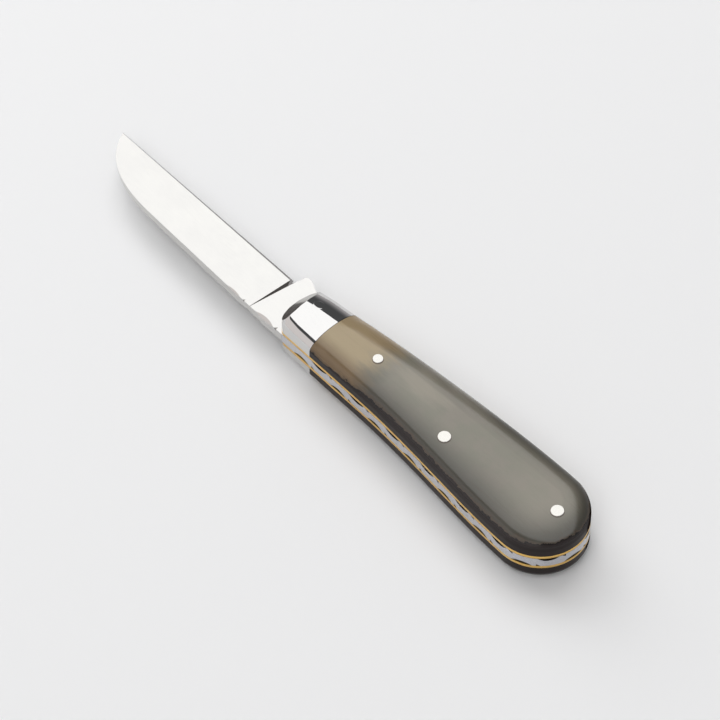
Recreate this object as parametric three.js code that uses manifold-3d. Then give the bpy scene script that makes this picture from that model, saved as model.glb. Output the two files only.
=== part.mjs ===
// Folding pocket knife: a slip-joint folder, shown open and lying flat.
// Millimetres, +Z up. The origin is the foot of the pivot axis on the surface that the
// knife lies on. +X runs towards the open blade's tip and +Y towards the back spring.
import * as THREE from 'three';
import { mergeVertices } from 'three/addons/utils/BufferGeometryUtils.js';
import Module from 'manifold-3d';

const wasm = await Module();
wasm.setup();

// Stack, from the middle plane outwards
const BLADE_STOCK = 3.0;        // thickness of the blade's steel
const RUN_GAP = 0.05;           // running gap between the tang and each liner
const LINER_SHEET = 1.0;        // brass sheet
const COVER_RISE = 5.9;         // crown of a bolster or scale above its liner
const COVER_WALL = 1.9;         // upright wall of a cover, below its rounded shoulder
const NOSE_WALL = 0.7;          // the same at the bolster's nose

// Handle in plan
const BACK_HEIGHT = 10.0;       // pivot axis to the straight back
const BACK_STRAIGHT = 24.0;     // where the back starts to swell, behind the pivot
const BACK_SWELL = 23.0;        // length of the curve's handle at the start of the swell
const BUTT_REACH = 81.8;        // pivot axis to the butt's centre
const BUTT_SHIFT = 0.05;        // butt's centre above the pivot axis
const BUTT_RADIUS = 13.0;       // round of the butt, towards the back and behind
const BUTT_DEPTH = 12.3;        // the same towards the belly
const BUTT_SWELL = 18.0;        // length of the curves' handles where they meet the butt
const THROAT_REACH = 9.0;       // start of the belly's curve, behind the pivot
const THROAT_DEPTH = 6.4;       // pivot axis to the belly at the throat
const THROAT_SWELL = 21.0;
const THROAT_SLOPE = 0.145;     // fall of the belly for each millimetre towards the butt
const NOSE_REACH = 7.4;         // pivot axis to the tip of the bolster's nose
const NOSE_BACK = 2.6;          // where the nose's round meets the back
const NOSE_BELLY = 6.2;         // where it meets the belly
const NOSE_DEPTH = 4.8;         // pivot axis to the belly at the nose
const JOINT_REACH = 7.4;        // joint of bolster and scale, behind the pivot

// Dome of the covers
const KEEL_FRONT = 1.5;         // front end of the crown's middle line, behind the pivot
const KEEL_SHIFT = 1.9;         // that end, above the pivot axis
const SHOULDER_WIDTH = 5.0;     // from the rim inwards to the flat crown
const SHOULDER_SHARE = 0.62;    // the most it takes of the way from rim to keel
const SHOULDER_RINGS = 6;

// Blade in plan
const TIP_GAP = 2.5;            // closed tip to the spring's tail
const TIP_DROP = 3.95;
const KICK_AHEAD = 3.9;         // from the bolster's nose forward to the kick's lowest point
const KICK_ROUND = 1.45;        // from there to the kick's front
const NOTCH_AHEAD = 0.95;       // from there to the choil notch
const HEEL_AHEAD = 0.9;         // from there to the back end of the cutting edge
const HEEL_DROP = 4.35;
const PLUNGE_AHEAD = 0.7;       // from there to the plunge line's end at the back
const SPINE_TURN = 55.0;        // where the spine starts to curve down to the tip
const SPINE_TURN_DROP = 1.1;    // its fall up to there
const NOTCH_TOP = 3.0;          // pivot axis to the notch's top
const KICK_DROP = 7.1;          // pivot axis to the kick's lowest point
const KICK_BACK = 4.1;          // from the kick's lowest point back to the tang's lower flat

// Blade in section
const GRIND_STEP = 0.08;        // depth of the plunge at the spine
const GRIND_EDGE = 0.28;        // half thickness behind the edge bevel, at the heel
const GRIND_TAPER = 0.003;      // thinning of each face for each millimetre towards the tip
const EDGE_HALF = 0.03;         // half thickness of the finished edge
const EDGE_SLOPE = 0.5;
const PLUNGE_LEAN = 0.16;       // its lean towards the pivot for each millimetre down
const PLUNGE_RUN = 1.8;         // how far its face runs forward for each millimetre deep

// Tang, spring and pivot
const CLOSED_ANGLE = 176;       // degrees from open to closed
const TANG_RADIUS = 6.2;        // cam's rounded corners
const TANG_FLAT = 5.15;         // pivot axis to the open flat and the closed flat
const SEAT_GAP = 0.05;          // spring to tang, on the flat and at the stop
const STOP_REACH = 3.25;        // tang's stop shoulder, ahead of the pivot
const CAM_FACE_SPARE = 0.4;     // how far the spring's face on the cam outreaches the cam
const KICK_SEAT = 5.0;          // length of the spring's seat behind the closed kick
const SPRING_FRONT_DEPTH = 3.15; // depth of the spring between the seat and the centre pin
const SPRING_REAR_DEPTH = 4.2;  // depth between the centre pin and the butt
const LOBE_WALL = 1.3;          // steel under the centre pin
const LOBE_HALF = 6.8;          // half length of the lobe round the centre pin
const TAIL_INSET = 1.8;         // front face of the spring's tail, behind the butt's centre
const TAIL_TURN = 8.0;          // radius of the turn from the tail into the bar

// Pins
const PIVOT_RADIUS = 1.6;
const PIVOT_RUN = 0.05;         // radial clearance in the tang
const PIN_FIT = 0.03;           // radial clearance of a fixed pin
const FRONT_PIN = { x: -22.7, y: 0.45, r: 1.4 };
const CENTRE_PIN = { x: -51.6, y: 4.5, r: 1.75 };
const BUTT_PIN = { x: 8 - BUTT_REACH - BUTT_RADIUS, y: -0.8, r: 1.75 };
const BOLSTER_PIN_RADIUS = 0.8;
const BOLSTER_PINS = [{ x: -4.2, y: 5.2 }, { x: 3.6, y: 4.4 }];
const PIN_FACETS = 40;

// Filed vine along the back
const VINE_HALF_PERIOD = 6.95;  // from a crescent to the next, on the other side
const VINE_START = 4.2;         // first crescent, behind the pivot
const VINE_STOP = 7.0;          // least distance from the last crescent to the tail's end
const THORN_OFFSET = 4.2;       // from the middle of a crescent back to its thorn
const SPINE_START = 9.8;        // first crescent on the blade's spine, ahead of the pivot
const SPINE_PITCH = 6.15;
const SPINE_CRESCENTS = 3;

// Files: a round file leaves a crescent, a three-square file a thorn. Each bites into a
// side face and cuts to a depth below the back; lean is its tilt across the corner.
const FILE_REACH = 4.0;
const CRESCENT = { length: 5.6, bite: 0.95, depth: 0.95, lean: 0, facets: 44, turn: 0 };
const THORN = { length: 1.5, bite: 0.85, depth: 0.85, lean: 8, facets: 3, turn: 0.45 };
const SPINE_CRESCENT = { length: 6.6, bite: 0.55, depth: 2.0, lean: 50, facets: 60, turn: 0 };
const SPINE_THORN = { length: 1.2, bite: 0.6, depth: 2.0, lean: 45, facets: 3, turn: 0.3 };

// Nail nick in the lower face
const NICK = { x: 27.0, y: BACK_HEIGHT - 2.6, radius: 20.0, depth: 0.6, width: 1.5 };

const CURVE_STEPS = 12;
const GAP_HALF = BLADE_STOCK / 2 + RUN_GAP;
const LINER_FACE = GAP_HALF + LINER_SHEET;
const MID = LINER_FACE + COVER_RISE;
const BUTT = new THREE.Vector2(-BUTT_REACH, BUTT_SHIFT);
const TAIL_REACH = BUTT_REACH + TAIL_INSET;
const TIP_REACH = TAIL_REACH - TIP_GAP;
const KICK_REACH = NOSE_REACH + KICK_AHEAD;
const KICK_FRONT = KICK_REACH + KICK_ROUND;
const NOTCH_REACH = KICK_FRONT + NOTCH_AHEAD;
const HEEL_REACH = NOTCH_REACH + HEEL_AHEAD;
const PLUNGE_REACH = HEEL_REACH + PLUNGE_AHEAD;
const MARGIN = 10;              // how far a cutter outreaches what it cuts

// Solids and booleans

function toSolid(geometry) {
  const bare = geometry.clone();
  bare.deleteAttribute('normal');
  bare.deleteAttribute('uv');
  const merged = mergeVertices(bare, 1e-4);
  return new wasm.Manifold(new wasm.Mesh({
    numProp: 3,
    vertProperties: new Float32Array(merged.attributes.position.array),
    triVerts: new Uint32Array(merged.index.array),
  }));
}

function toGeometry(solid) {
  const { vertProperties, triVerts } = solid.getMesh();
  const geometry = new THREE.BufferGeometry();
  geometry.setAttribute('position', new THREE.BufferAttribute(vertProperties, 3));
  geometry.setIndex(new THREE.BufferAttribute(triVerts, 1));
  return geometry;
}

function prism(shape, bottom, top) {
  const options = { depth: top - bottom, bevelEnabled: false, curveSegments: CURVE_STEPS };
  return new THREE.ExtrudeGeometry(shape, options).translate(0, 0, bottom);
}

function rod(x, y, radius, bottom, top, facets = PIN_FACETS) {
  const cylinder = new THREE.CylinderGeometry(radius, radius, top - bottom, facets);
  return cylinder.rotateX(Math.PI / 2).translate(x, y, (top + bottom) / 2);
}

function polygon(points) {
  return new THREE.Shape(points.map(([x, y]) => new THREE.Vector2(x, y)));
}

function drill(solid, holes, bottom, top) {
  return holes.reduce(
    (left, { x, y, r }) => left.subtract(toSolid(rod(x, y, r + PIN_FIT, bottom, top))), solid);
}

// Outlines in plan

function drawBack(path) {
  path.lineTo(-BACK_STRAIGHT, BACK_HEIGHT);
  const top = BUTT.y + BUTT_RADIUS;
  path.bezierCurveTo(-BACK_STRAIGHT - BACK_SWELL, BACK_HEIGHT, BUTT.x + BUTT_SWELL, top, BUTT.x, top);
}

function drawButt(path, end = 1.5 * Math.PI) {
  path.absarc(BUTT.x, BUTT.y, BUTT_RADIUS, Math.PI / 2, Math.PI, false);
  path.absellipse(BUTT.x, BUTT.y, BUTT_RADIUS, BUTT_DEPTH, Math.PI, end, false);
}

function handleOutline() {
  const outline = new THREE.Shape();
  outline.moveTo(NOSE_BACK, BACK_HEIGHT);
  drawBack(outline);
  drawButt(outline);
  outline.bezierCurveTo(
    BUTT.x + BUTT_SWELL, BUTT.y - BUTT_DEPTH,
    -THROAT_REACH - THROAT_SWELL, -THROAT_DEPTH - THROAT_SLOPE * THROAT_SWELL,
    -THROAT_REACH, -THROAT_DEPTH);
  outline.lineTo(NOSE_BELLY, -NOSE_DEPTH);
  const bulge = (8 * NOSE_REACH - NOSE_BELLY - NOSE_BACK) / 6;
  outline.bezierCurveTo(
    bulge, 0.3 - 0.36 * NOSE_DEPTH, bulge, 0.76 * BACK_HEIGHT, NOSE_BACK, BACK_HEIGHT);
  return outline;
}

function springOutline() {
  const outline = new THREE.Shape();
  const front = STOP_REACH - SEAT_GAP;
  const camFace = TANG_FLAT + SEAT_GAP;
  const seat = closedKick().y + SEAT_GAP;
  const bar = BACK_HEIGHT - SPRING_FRONT_DEPTH;
  const rear = BUTT.y + BUTT_RADIUS - SPRING_REAR_DEPTH;
  const lobe = CENTRE_PIN.y - CENTRE_PIN.r - LOBE_WALL;
  const pin = CENTRE_PIN.x;
  const neck = LOBE_HALF / 2;
  outline.moveTo(front, BACK_HEIGHT);
  drawBack(outline);
  const tailAngle = 2 * Math.PI - Math.acos((BUTT.x + TAIL_REACH) / -BUTT_RADIUS);
  drawButt(outline, tailAngle);
  outline.lineTo(-TAIL_REACH, rear - TAIL_TURN);
  outline.quadraticCurveTo(-TAIL_REACH, rear, -TAIL_REACH + TAIL_TURN, rear);
  outline.bezierCurveTo(
    -TAIL_REACH + 2 * TAIL_TURN, rear, pin - LOBE_HALF - neck, bar + 0.4, pin - LOBE_HALF, bar);
  outline.bezierCurveTo(pin - neck, bar, pin - neck, lobe, pin, lobe);
  outline.bezierCurveTo(pin + neck, lobe, pin + neck, bar, pin + LOBE_HALF, bar);
  const seatBack = closedKick().x - KICK_SEAT;
  const camBack = -TANG_RADIUS - CAM_FACE_SPARE;
  outline.lineTo(seatBack - 2, bar);
  outline.quadraticCurveTo(seatBack, bar, seatBack + 2, seat);
  outline.lineTo(camBack - 3.2, seat);
  outline.quadraticCurveTo(camBack - 1, seat, camBack, camFace);
  outline.lineTo(front, camFace);
  return outline;
}

function closedKick() {
  const angle = THREE.MathUtils.degToRad(CLOSED_ANGLE);
  return new THREE.Vector2(KICK_REACH, -KICK_DROP).rotateAround(new THREE.Vector2(), -angle);
}

function bladeOutline() {
  const closed = THREE.MathUtils.degToRad(CLOSED_ANGLE);
  const openCorner = Math.acos(-Math.sqrt(1 - (TANG_FLAT / TANG_RADIUS) ** 2));
  const half = Math.acos(TANG_FLAT / TANG_RADIUS);
  const closedNormal = Math.PI / 2 + closed;
  const flatEnd = KICK_REACH - KICK_BACK;
  const flatDrop = (flatEnd * Math.cos(closedNormal) - TANG_FLAT) / -Math.sin(closedNormal);
  const outline = new THREE.Shape();
  outline.moveTo(STOP_REACH, BACK_HEIGHT);
  outline.lineTo(STOP_REACH, TANG_FLAT);
  outline.absarc(0, 0, TANG_RADIUS, openCorner, closedNormal - half, false);
  outline.lineTo(flatEnd, flatDrop);
  outline.bezierCurveTo(
    flatEnd + 1.3, flatDrop - 0.2, KICK_REACH - 1.8, -KICK_DROP, KICK_REACH, -KICK_DROP);
  outline.bezierCurveTo(
    KICK_REACH + 1.1, -KICK_DROP, KICK_FRONT - 0.2, -KICK_DROP + 0.6, KICK_FRONT, -HEEL_DROP - 0.4);
  outline.lineTo(NOTCH_REACH - 0.25, -NOTCH_TOP - 0.15);
  outline.quadraticCurveTo(NOTCH_REACH, -NOTCH_TOP, NOTCH_REACH + 0.2, -NOTCH_TOP - 0.3);
  outline.lineTo(HEEL_REACH, -HEEL_DROP);
  outline.lineTo(TIP_REACH, -TIP_DROP);
  const turn = BACK_HEIGHT - SPINE_TURN_DROP;
  const sweep = TIP_REACH - SPINE_TURN;
  outline.bezierCurveTo(
    TIP_REACH - 0.18 * sweep, turn - 2.4, SPINE_TURN + 0.42 * sweep, turn - 0.3, SPINE_TURN, turn);
  outline.lineTo(PLUNGE_REACH, BACK_HEIGHT);
  return outline;
}

// Covers: the rim is drawn in towards the keel ring by ring, round a quarter ellipse and
// up to a flat crown

function keelPoint(rim) {
  const front = -KEEL_FRONT;
  const x = THREE.MathUtils.clamp(rim.x, BUTT.x, front);
  return new THREE.Vector2(x, THREE.MathUtils.mapLinear(x, BUTT.x, front, BUTT.y, KEEL_SHIFT));
}

function wallHeight(rim) {
  const towardsNose = THREE.MathUtils.smoothstep(rim.x, -KEEL_FRONT, NOSE_REACH);
  return THREE.MathUtils.lerp(COVER_WALL, NOSE_WALL, towardsNose);
}

function coverRings(rim) {
  const rings = [rim.map((p) => new THREE.Vector3(p.x, p.y, LINER_FACE))];
  for (let k = 0; k <= SHOULDER_RINGS; k += 1) {
    const turn = k / SHOULDER_RINGS * Math.PI / 2;
    rings.push(rim.map((p) => {
      const keel = keelPoint(p);
      const width = Math.min(SHOULDER_WIDTH / p.distanceTo(keel), SHOULDER_SHARE);
      const q = p.clone().lerp(keel, width * (1 - Math.cos(turn)));
      const height = THREE.MathUtils.lerp(wallHeight(p), COVER_RISE, Math.sin(turn));
      return new THREE.Vector3(q.x, q.y, LINER_FACE + height);
    }));
  }
  return rings;
}

// Side 1 is the upper cover, side -1 its mirror image below the middle plane
function cover(side) {
  const rim = handleOutline().getPoints(CURVE_STEPS).slice(0, -1);
  const rings = coverRings(rim);
  const count = rim.length;
  const last = rings.length - 1;
  const faces = [];
  for (let k = 0; k < last; k += 1) {
    for (let i = 0; i < count; i += 1) {
      const j = (i + 1) % count;
      const [a, b, c, d] = [k * count + i, k * count + j, (k + 1) * count + j, (k + 1) * count + i];
      faces.push([a, b, c], [a, c, d]);
    }
  }
  const crown = rings[last].map((p) => new THREE.Vector2(p.x, p.y));
  THREE.ShapeUtils.triangulateShape(rim, []).forEach(([a, b, c]) => faces.push([a, c, b]));
  THREE.ShapeUtils.triangulateShape(crown, [])
    .forEach(([a, b, c]) => faces.push([a + last * count, b + last * count, c + last * count]));
  const geometry = new THREE.BufferGeometry().setFromPoints(rings.flat());
  geometry.setIndex(faces.flatMap(([a, b, c]) => (side > 0 ? [a, b, c] : [a, c, b])));
  return toSolid(geometry.scale(1, 1, side).translate(0, 0, MID));
}

function halfSpace(fromX, toX) {
  const reach = 2 * (BUTT_REACH + TIP_REACH);
  return toSolid(new THREE.BoxGeometry(toX - fromX, reach, reach).translate((fromX + toX) / 2, 0, MID));
}

// Holes in one side: the pins that hold a bolster and those that hold a scale
const PIVOT = { x: 0, y: 0, r: PIVOT_RADIUS };
const bolsterHoles = [PIVOT, ...BOLSTER_PINS.map((p) => ({ ...p, r: BOLSTER_PIN_RADIUS }))];
const scaleHoles = [FRONT_PIN, CENTRE_PIN, BUTT_PIN];

function bolster(side) {
  const front = cover(side).intersect(halfSpace(-JOINT_REACH, TIP_REACH));
  return drill(front, bolsterHoles, 0, 2 * MID);
}

function scale(side) {
  const rear = cover(side).intersect(halfSpace(-2 * BUTT_REACH, -JOINT_REACH));
  return drill(rear, scaleHoles, 0, 2 * MID);
}

function liner(side) {
  const [near, far] = [MID + side * GAP_HALF, MID + side * LINER_FACE];
  const sheet = toSolid(prism(handleOutline(), Math.min(near, far), Math.max(near, far)));
  return drill(sheet, [...bolsterHoles, ...scaleHoles], 0, 2 * MID);
}

// Pins: each is cut off flush with the domed covers
const envelope = cover(1).add(cover(-1))
  .add(toSolid(prism(handleOutline(), MID - LINER_FACE, MID + LINER_FACE)));

function throughPin({ x, y, r }) {
  return toSolid(rod(x, y, r, -1, 2 * MID + 1)).intersect(envelope);
}

function shortPin({ x, y, r }, side) {
  const [inner, outer] = [MID + side * GAP_HALF, MID + side * (MID + 1)];
  return toSolid(rod(x, y, r, Math.min(inner, outer), Math.max(inner, outer))).intersect(envelope);
}

// File-work on the corner between the back and one side. The cut is placed with the
// corner at the origin, the back's outward direction on +Y and the side's on +Z.

function fileCut(at, outward, side, cut, halfThickness) {
  const radius = (cut.length ** 2 / 4 + cut.bite ** 2) / (2 * cut.bite);
  const file = new THREE.CylinderGeometry(radius, radius, FILE_REACH, cut.facets);
  file.rotateY(Math.PI + cut.turn);
  file.translate(0, FILE_REACH / 2 - cut.depth, radius - cut.bite);
  file.rotateX(-THREE.MathUtils.degToRad(cut.lean));
  file.rotateY(side > 0 ? 0 : Math.PI);
  file.rotateZ(Math.atan2(outward.y, outward.x) - Math.PI / 2);
  return toSolid(file.translate(at.x, at.y, MID + side * halfThickness));
}

function vineCuts() {
  const path = new THREE.Path();
  path.moveTo(-VINE_START, BACK_HEIGHT);
  drawBack(path);
  drawButt(path);
  const length = path.getLength();
  const cuts = [];
  const add = (distance, side, cut) => {
    const share = distance / length;
    const tangent = path.getTangentAt(share);
    const outward = new THREE.Vector2(tangent.y, -tangent.x);
    cuts.push(fileCut(path.getPointAt(share), outward, side, cut, GAP_HALF));
  };
  const count = Math.floor((length - VINE_STOP) / VINE_HALF_PERIOD);
  for (let i = 0; i <= count; i += 1) {
    const side = i % 2 === 0 ? -1 : 1;
    add(i * VINE_HALF_PERIOD, side, CRESCENT);
    add(i * VINE_HALF_PERIOD + THORN_OFFSET, side, THORN);
  }
  return cuts;
}

function backSpring() {
  const bar = toSolid(prism(springOutline(), MID - GAP_HALF, MID + GAP_HALF));
  const filed = vineCuts().reduce((left, cut) => left.subtract(cut), bar);
  return drill(filed, [CENTRE_PIN, BUTT_PIN], 0, 2 * MID);
}

// Blade: the blank is ground on both sides to a plane that rises from edge to spine

function grindBlock(side, { edgeHalf, slope, taper, run }, plan) {
  const edgeRise = (HEEL_DROP - TIP_DROP) / (TIP_REACH - HEEL_REACH);
  const edgeAtPivot = -HEEL_DROP - edgeRise * HEEL_REACH;
  const tilt = new THREE.Matrix4().set(
    1, 0, 0, 0,
    0, 1, 0, 0,
    -slope * edgeRise - taper, slope, 1, edgeHalf - slope * edgeAtPivot + taper * HEEL_REACH,
    0, 0, 0, 1);
  const lean = new THREE.Matrix4().set(
    1, 0, -run, run * BLADE_STOCK / 2,
    0, 1, 0, 0,
    0, 0, 1, 0,
    0, 0, 0, 1);
  const block = prism(polygon(plan), 0, 2 * BLADE_STOCK).applyMatrix4(lean.multiply(tilt));
  if (side < 0) {
    block.scale(1, 1, -1);
    block.setIndex([...Array(block.attributes.position.count).keys()].reverse());
  }
  return toSolid(block.translate(0, 0, MID));
}

function nailNick() {
  const { x, y, radius, depth, width } = NICK;
  const profile = [[0, 0], [radius, 0], [radius - 2 * depth, width], [0, width]];
  const disc = new THREE.LatheGeometry(profile.map(([r, h]) => new THREE.Vector2(r, h)), 96);
  return toSolid(disc.translate(x, y, MID - BLADE_STOCK / 2 - radius + depth));
}

function spineCuts() {
  const cuts = [];
  const outward = new THREE.Vector2(0, 1);
  const add = (x, side, cut) =>
    cuts.push(fileCut(new THREE.Vector2(x, BACK_HEIGHT), outward, side, cut, BLADE_STOCK / 2));
  for (let i = 0; i < SPINE_CRESCENTS; i += 1) {
    const side = i % 2 === 0 ? 1 : -1;
    const x = SPINE_START + i * SPINE_PITCH;
    add(x, side, SPINE_CRESCENT);
    add(x - THORN_OFFSET, side, SPINE_THORN);
  }
  return cuts;
}

function blade() {
  const top = BACK_HEIGHT + MARGIN;
  const bottom = -KICK_DROP - MARGIN;
  const far = TIP_REACH + MARGIN;
  const lean = (y) => PLUNGE_REACH - PLUNGE_LEAN * (BACK_HEIGHT - y);
  const ahead = [[lean(bottom), bottom], [far, bottom], [far, top], [lean(top), top]];
  const along = [[NOTCH_REACH - 0.3, bottom], [far, bottom], [far, top], [NOTCH_REACH - 0.3, top]];
  const slope = (BLADE_STOCK / 2 - GRIND_STEP - GRIND_EDGE) / (BACK_HEIGHT + HEEL_DROP);
  const face = { edgeHalf: GRIND_EDGE, slope, taper: GRIND_TAPER, run: PLUNGE_RUN };
  const bevel = { edgeHalf: EDGE_HALF, slope: EDGE_SLOPE, taper: 0, run: 0 };
  let steel = toSolid(prism(bladeOutline(), MID - BLADE_STOCK / 2, MID + BLADE_STOCK / 2));
  [1, -1].forEach((side) => {
    steel = steel.subtract(grindBlock(side, face, ahead));
    steel = steel.subtract(grindBlock(side, bevel, along));
  });
  steel = spineCuts().reduce((left, cut) => left.subtract(cut), steel);
  const bore = PIVOT_RADIUS + PIVOT_RUN;
  return steel.subtract(nailNick()).subtract(toSolid(rod(0, 0, bore, 0, 2 * MID)));
}

// Finishes and assembly

const finish = (color, roughness, metalness) =>
  new THREE.MeshStandardMaterial({ color, roughness, metalness });
const polishedSteel = finish(0xdedddb, 0.08, 1);
const springSteel = finish(0xb9b8bb, 0.25, 1);
const brass = finish(0xd9a44a, 0.25, 1);
const horn = finish(0x8f897b, 0.22, 0);
const nickelPin = finish(0xf1ece2, 0.15, 1);

const knife = new THREE.Group();
const handle = new THREE.Group();
knife.add(handle);

function place(parent, name, solid, material) {
  const mesh = new THREE.Mesh(toGeometry(solid), material);
  mesh.name = name;
  parent.add(mesh);
}

place(knife, 'blade', blade(), polishedSteel);
place(handle, 'back_spring', backSpring(), springSteel);
place(handle, 'pivot_pin', throughPin(PIVOT), polishedSteel);
place(handle, 'centre_pin', throughPin(CENTRE_PIN), nickelPin);
place(handle, 'butt_pin', throughPin(BUTT_PIN), nickelPin);
[['upper', 1], ['lower', -1]].forEach(([level, side]) => {
  place(handle, `liner_${level}`, liner(side), brass);
  place(handle, `bolster_${level}`, bolster(side), polishedSteel);
  place(handle, `scale_${level}`, scale(side), horn);
  place(handle, `scale_pin_${level}`, shortPin(FRONT_PIN, side), nickelPin);
  BOLSTER_PINS.forEach((pin, i) => {
    const name = `bolster_pin_${level}_${i + 1}`;
    place(handle, name, shortPin({ ...pin, r: BOLSTER_PIN_RADIUS }, side), polishedSteel);
  });
});

export default knife;
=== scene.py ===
# %% [markdown]
# # A folding pocket knife, dressed in Blender
# The knife is a slip joint: one blade turns on a pivot between two brass liners, and a
# steel spring along the back holds it open or shut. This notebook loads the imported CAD
# model and gives each part its real surface. Lengths are written in millimetres and
# turned into metres by MM, because the frame is in metres.

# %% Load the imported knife
import math

import bmesh
import bpy
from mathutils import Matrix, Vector
from mathutils.bvhtree import BVHTree
from mathutils.kdtree import KDTree


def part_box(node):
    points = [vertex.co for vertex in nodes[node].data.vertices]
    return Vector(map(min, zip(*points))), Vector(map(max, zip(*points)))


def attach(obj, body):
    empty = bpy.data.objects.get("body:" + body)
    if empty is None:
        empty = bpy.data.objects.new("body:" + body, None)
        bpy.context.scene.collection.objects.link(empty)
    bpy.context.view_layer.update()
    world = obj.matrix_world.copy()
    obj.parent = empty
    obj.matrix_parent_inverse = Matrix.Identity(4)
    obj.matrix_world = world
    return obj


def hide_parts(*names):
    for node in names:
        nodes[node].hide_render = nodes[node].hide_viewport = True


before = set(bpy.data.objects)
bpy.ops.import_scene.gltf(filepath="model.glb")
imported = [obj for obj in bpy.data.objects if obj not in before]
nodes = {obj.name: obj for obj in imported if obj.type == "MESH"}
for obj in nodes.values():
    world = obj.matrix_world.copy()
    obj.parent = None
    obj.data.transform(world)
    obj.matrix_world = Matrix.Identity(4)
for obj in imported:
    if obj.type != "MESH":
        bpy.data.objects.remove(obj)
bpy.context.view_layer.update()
MM = 0.001
print("CAD nodes:", ", ".join(sorted(nodes)))

# %% [markdown]
# ## Camera
# The photograph looks down on the knife from the side of its back, with a long lens that
# hardly narrows things with distance. A camera is placed by turning a direction into a
# rotation with to_track_quat, which is easier to read than three angles.

# %% Camera at the photograph's angle
MIDDLE_HEIGHT = 8.45  # of the plane half way between the two liners
AIM = Vector((-15.5, 0, MIDDLE_HEIGHT)) * MM
AZIMUTH = math.radians(227.5)
ELEVATION = math.radians(54)
CAMERA_DISTANCE = 1272.3 * MM
SENSOR_WIDTH = 36
FOCAL_LENGTH = 250

camera_back = Vector((
    math.sin(AZIMUTH) * math.cos(ELEVATION),
    -math.cos(AZIMUTH) * math.cos(ELEVATION),
    math.sin(ELEVATION)))
lens = bpy.data.cameras.new("camera")
lens.sensor_width = SENSOR_WIDTH
lens.lens = FOCAL_LENGTH
camera = bpy.data.objects.new("camera", lens)
camera.location = AIM + camera_back * CAMERA_DISTANCE
camera.rotation_mode = "QUATERNION"
camera.rotation_quaternion = (-camera_back).to_track_quat("-Z", "Y")
bpy.context.scene.collection.objects.link(camera)
bpy.context.scene.camera = camera
bpy.context.scene.view_settings.view_transform = "Standard"
print("Camera at", [round(c, 3) for c in camera.location])

# %% [markdown]
# ## Helpers for node trees
# Materials here are made of nodes. One short function makes a node, sets it up and links
# what feeds it, so that a material reads from top to bottom like a recipe. The others
# wrap the few kinds of node that are used again and again. A value can be a number or a
# socket, and a number is simply typed into the node.

# %% Node helpers
def fill_socket(tree, socket, value):
    if isinstance(value, bpy.types.NodeSocket):
        tree.links.new(value, socket)
    else:
        socket.default_value = value


def add_node(tree, kind, inputs=None, **settings):
    made = tree.nodes.new(kind)
    for name, value in settings.items():
        setattr(made, name, value)
    for socket, value in (inputs or {}).items():
        fill_socket(tree, made.inputs[socket], value)
    return made


def calculate(tree, operation, *values, clamp=False):
    made = add_node(tree, "ShaderNodeMath", dict(enumerate(values)), operation=operation)
    made.use_clamp = clamp
    return made.outputs[0]


def both(tree, first, second):
    return calculate(tree, "MULTIPLY", first, second)


def ease(tree, value, start, end):
    """A smooth step from 0 at start to 1 at end. Start may be the larger of the two."""
    inputs = {"Value": value, "From Min": start, "From Max": end}
    made = add_node(tree, "ShaderNodeMapRange", inputs, interpolation_type="SMOOTHSTEP")
    return made.outputs["Result"]


def blend(tree, share, first, second):
    """The first colour where share is 0 and the second where it is 1."""
    made = add_node(tree, "ShaderNodeMix", data_type="RGBA")
    for socket, value in ((0, share), (6, first), (7, second)):
        fill_socket(tree, made.inputs[socket], value)
    return made.outputs[2]


# %% [markdown]
# ## Light and floor
# Polished metal shows nothing but its surroundings, so the room matters as much as the
# steel. A wide panel overhead is there for the metal: its straight edges draw the bands
# along the bolsters. Rough surfaces get their light from the whole ceiling, from a key
# lamp behind the knife, a fill lamp in front of it and a side lamp beyond the tip, so the
# shadow stays soft and falls towards the camera.

# %% Lamps
SOFT_LAMP = math.radians(40)  # how wide a sun looks; a wider one casts a softer shadow
WHOLE_SKY = math.pi
FACING_DOWN = (1, 0, 0, 0)


def make_lamp(name, kind, place, **settings):
    """A lamp that faces the knife. Cameras don't see it."""
    data = bpy.data.lights.new(name, kind)
    for label, value in settings.items():
        setattr(data, label, value)
    made = bpy.data.objects.new(name, data)
    made.location = place
    made.rotation_mode = "QUATERNION"
    made.rotation_quaternion = Vector(place).to_track_quat("Z", "Y")
    made.visible_camera = False
    bpy.context.scene.collection.objects.link(made)
    print(name, "has strength", round(data.energy, 2))
    return made


def make_panel(name, place, size, brightness):
    """A rectangular lamp; its brightness is its power over pi times its area."""
    return make_lamp(name, "AREA", place, shape="RECTANGLE", size=size[0], size_y=size[1],
                     energy=brightness * math.pi * size[0] * size[1])


panel = make_panel("metal_panel", (0, -0.38, 3.0), (9.6, 4.04), 1.43)
panel.rotation_quaternion = FACING_DOWN
panel.visible_diffuse = False
ceiling = make_lamp("ceiling", "SUN", (0, 0, 2.5), energy=1.07, angle=WHOLE_SKY)
key = make_lamp("key_lamp", "SUN", (1.0, -1.0, 2.45), energy=0.73, angle=SOFT_LAMP)
fill = make_lamp("fill_lamp", "SUN", (-0.66, 1.24, 2.43), energy=0.86, angle=SOFT_LAMP)
side = make_panel("side_lamp", (1.05, -0.1, 0.75), (0.9, 0.9), 2.49)
for lamp in (ceiling, key, fill, side):
    lamp.visible_glossy = False

# %% [markdown]
# The walls are painted on the world by direction, so they stand in no camera's way. A
# pale wall goes round from the tip's side to the back's side. The rest is dark and clears
# towards the horizon. Reflections see these walls, and the camera sees plain paper in
# their place. Heights here are those of a direction that is 1 long, so 1 is overhead.

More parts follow.
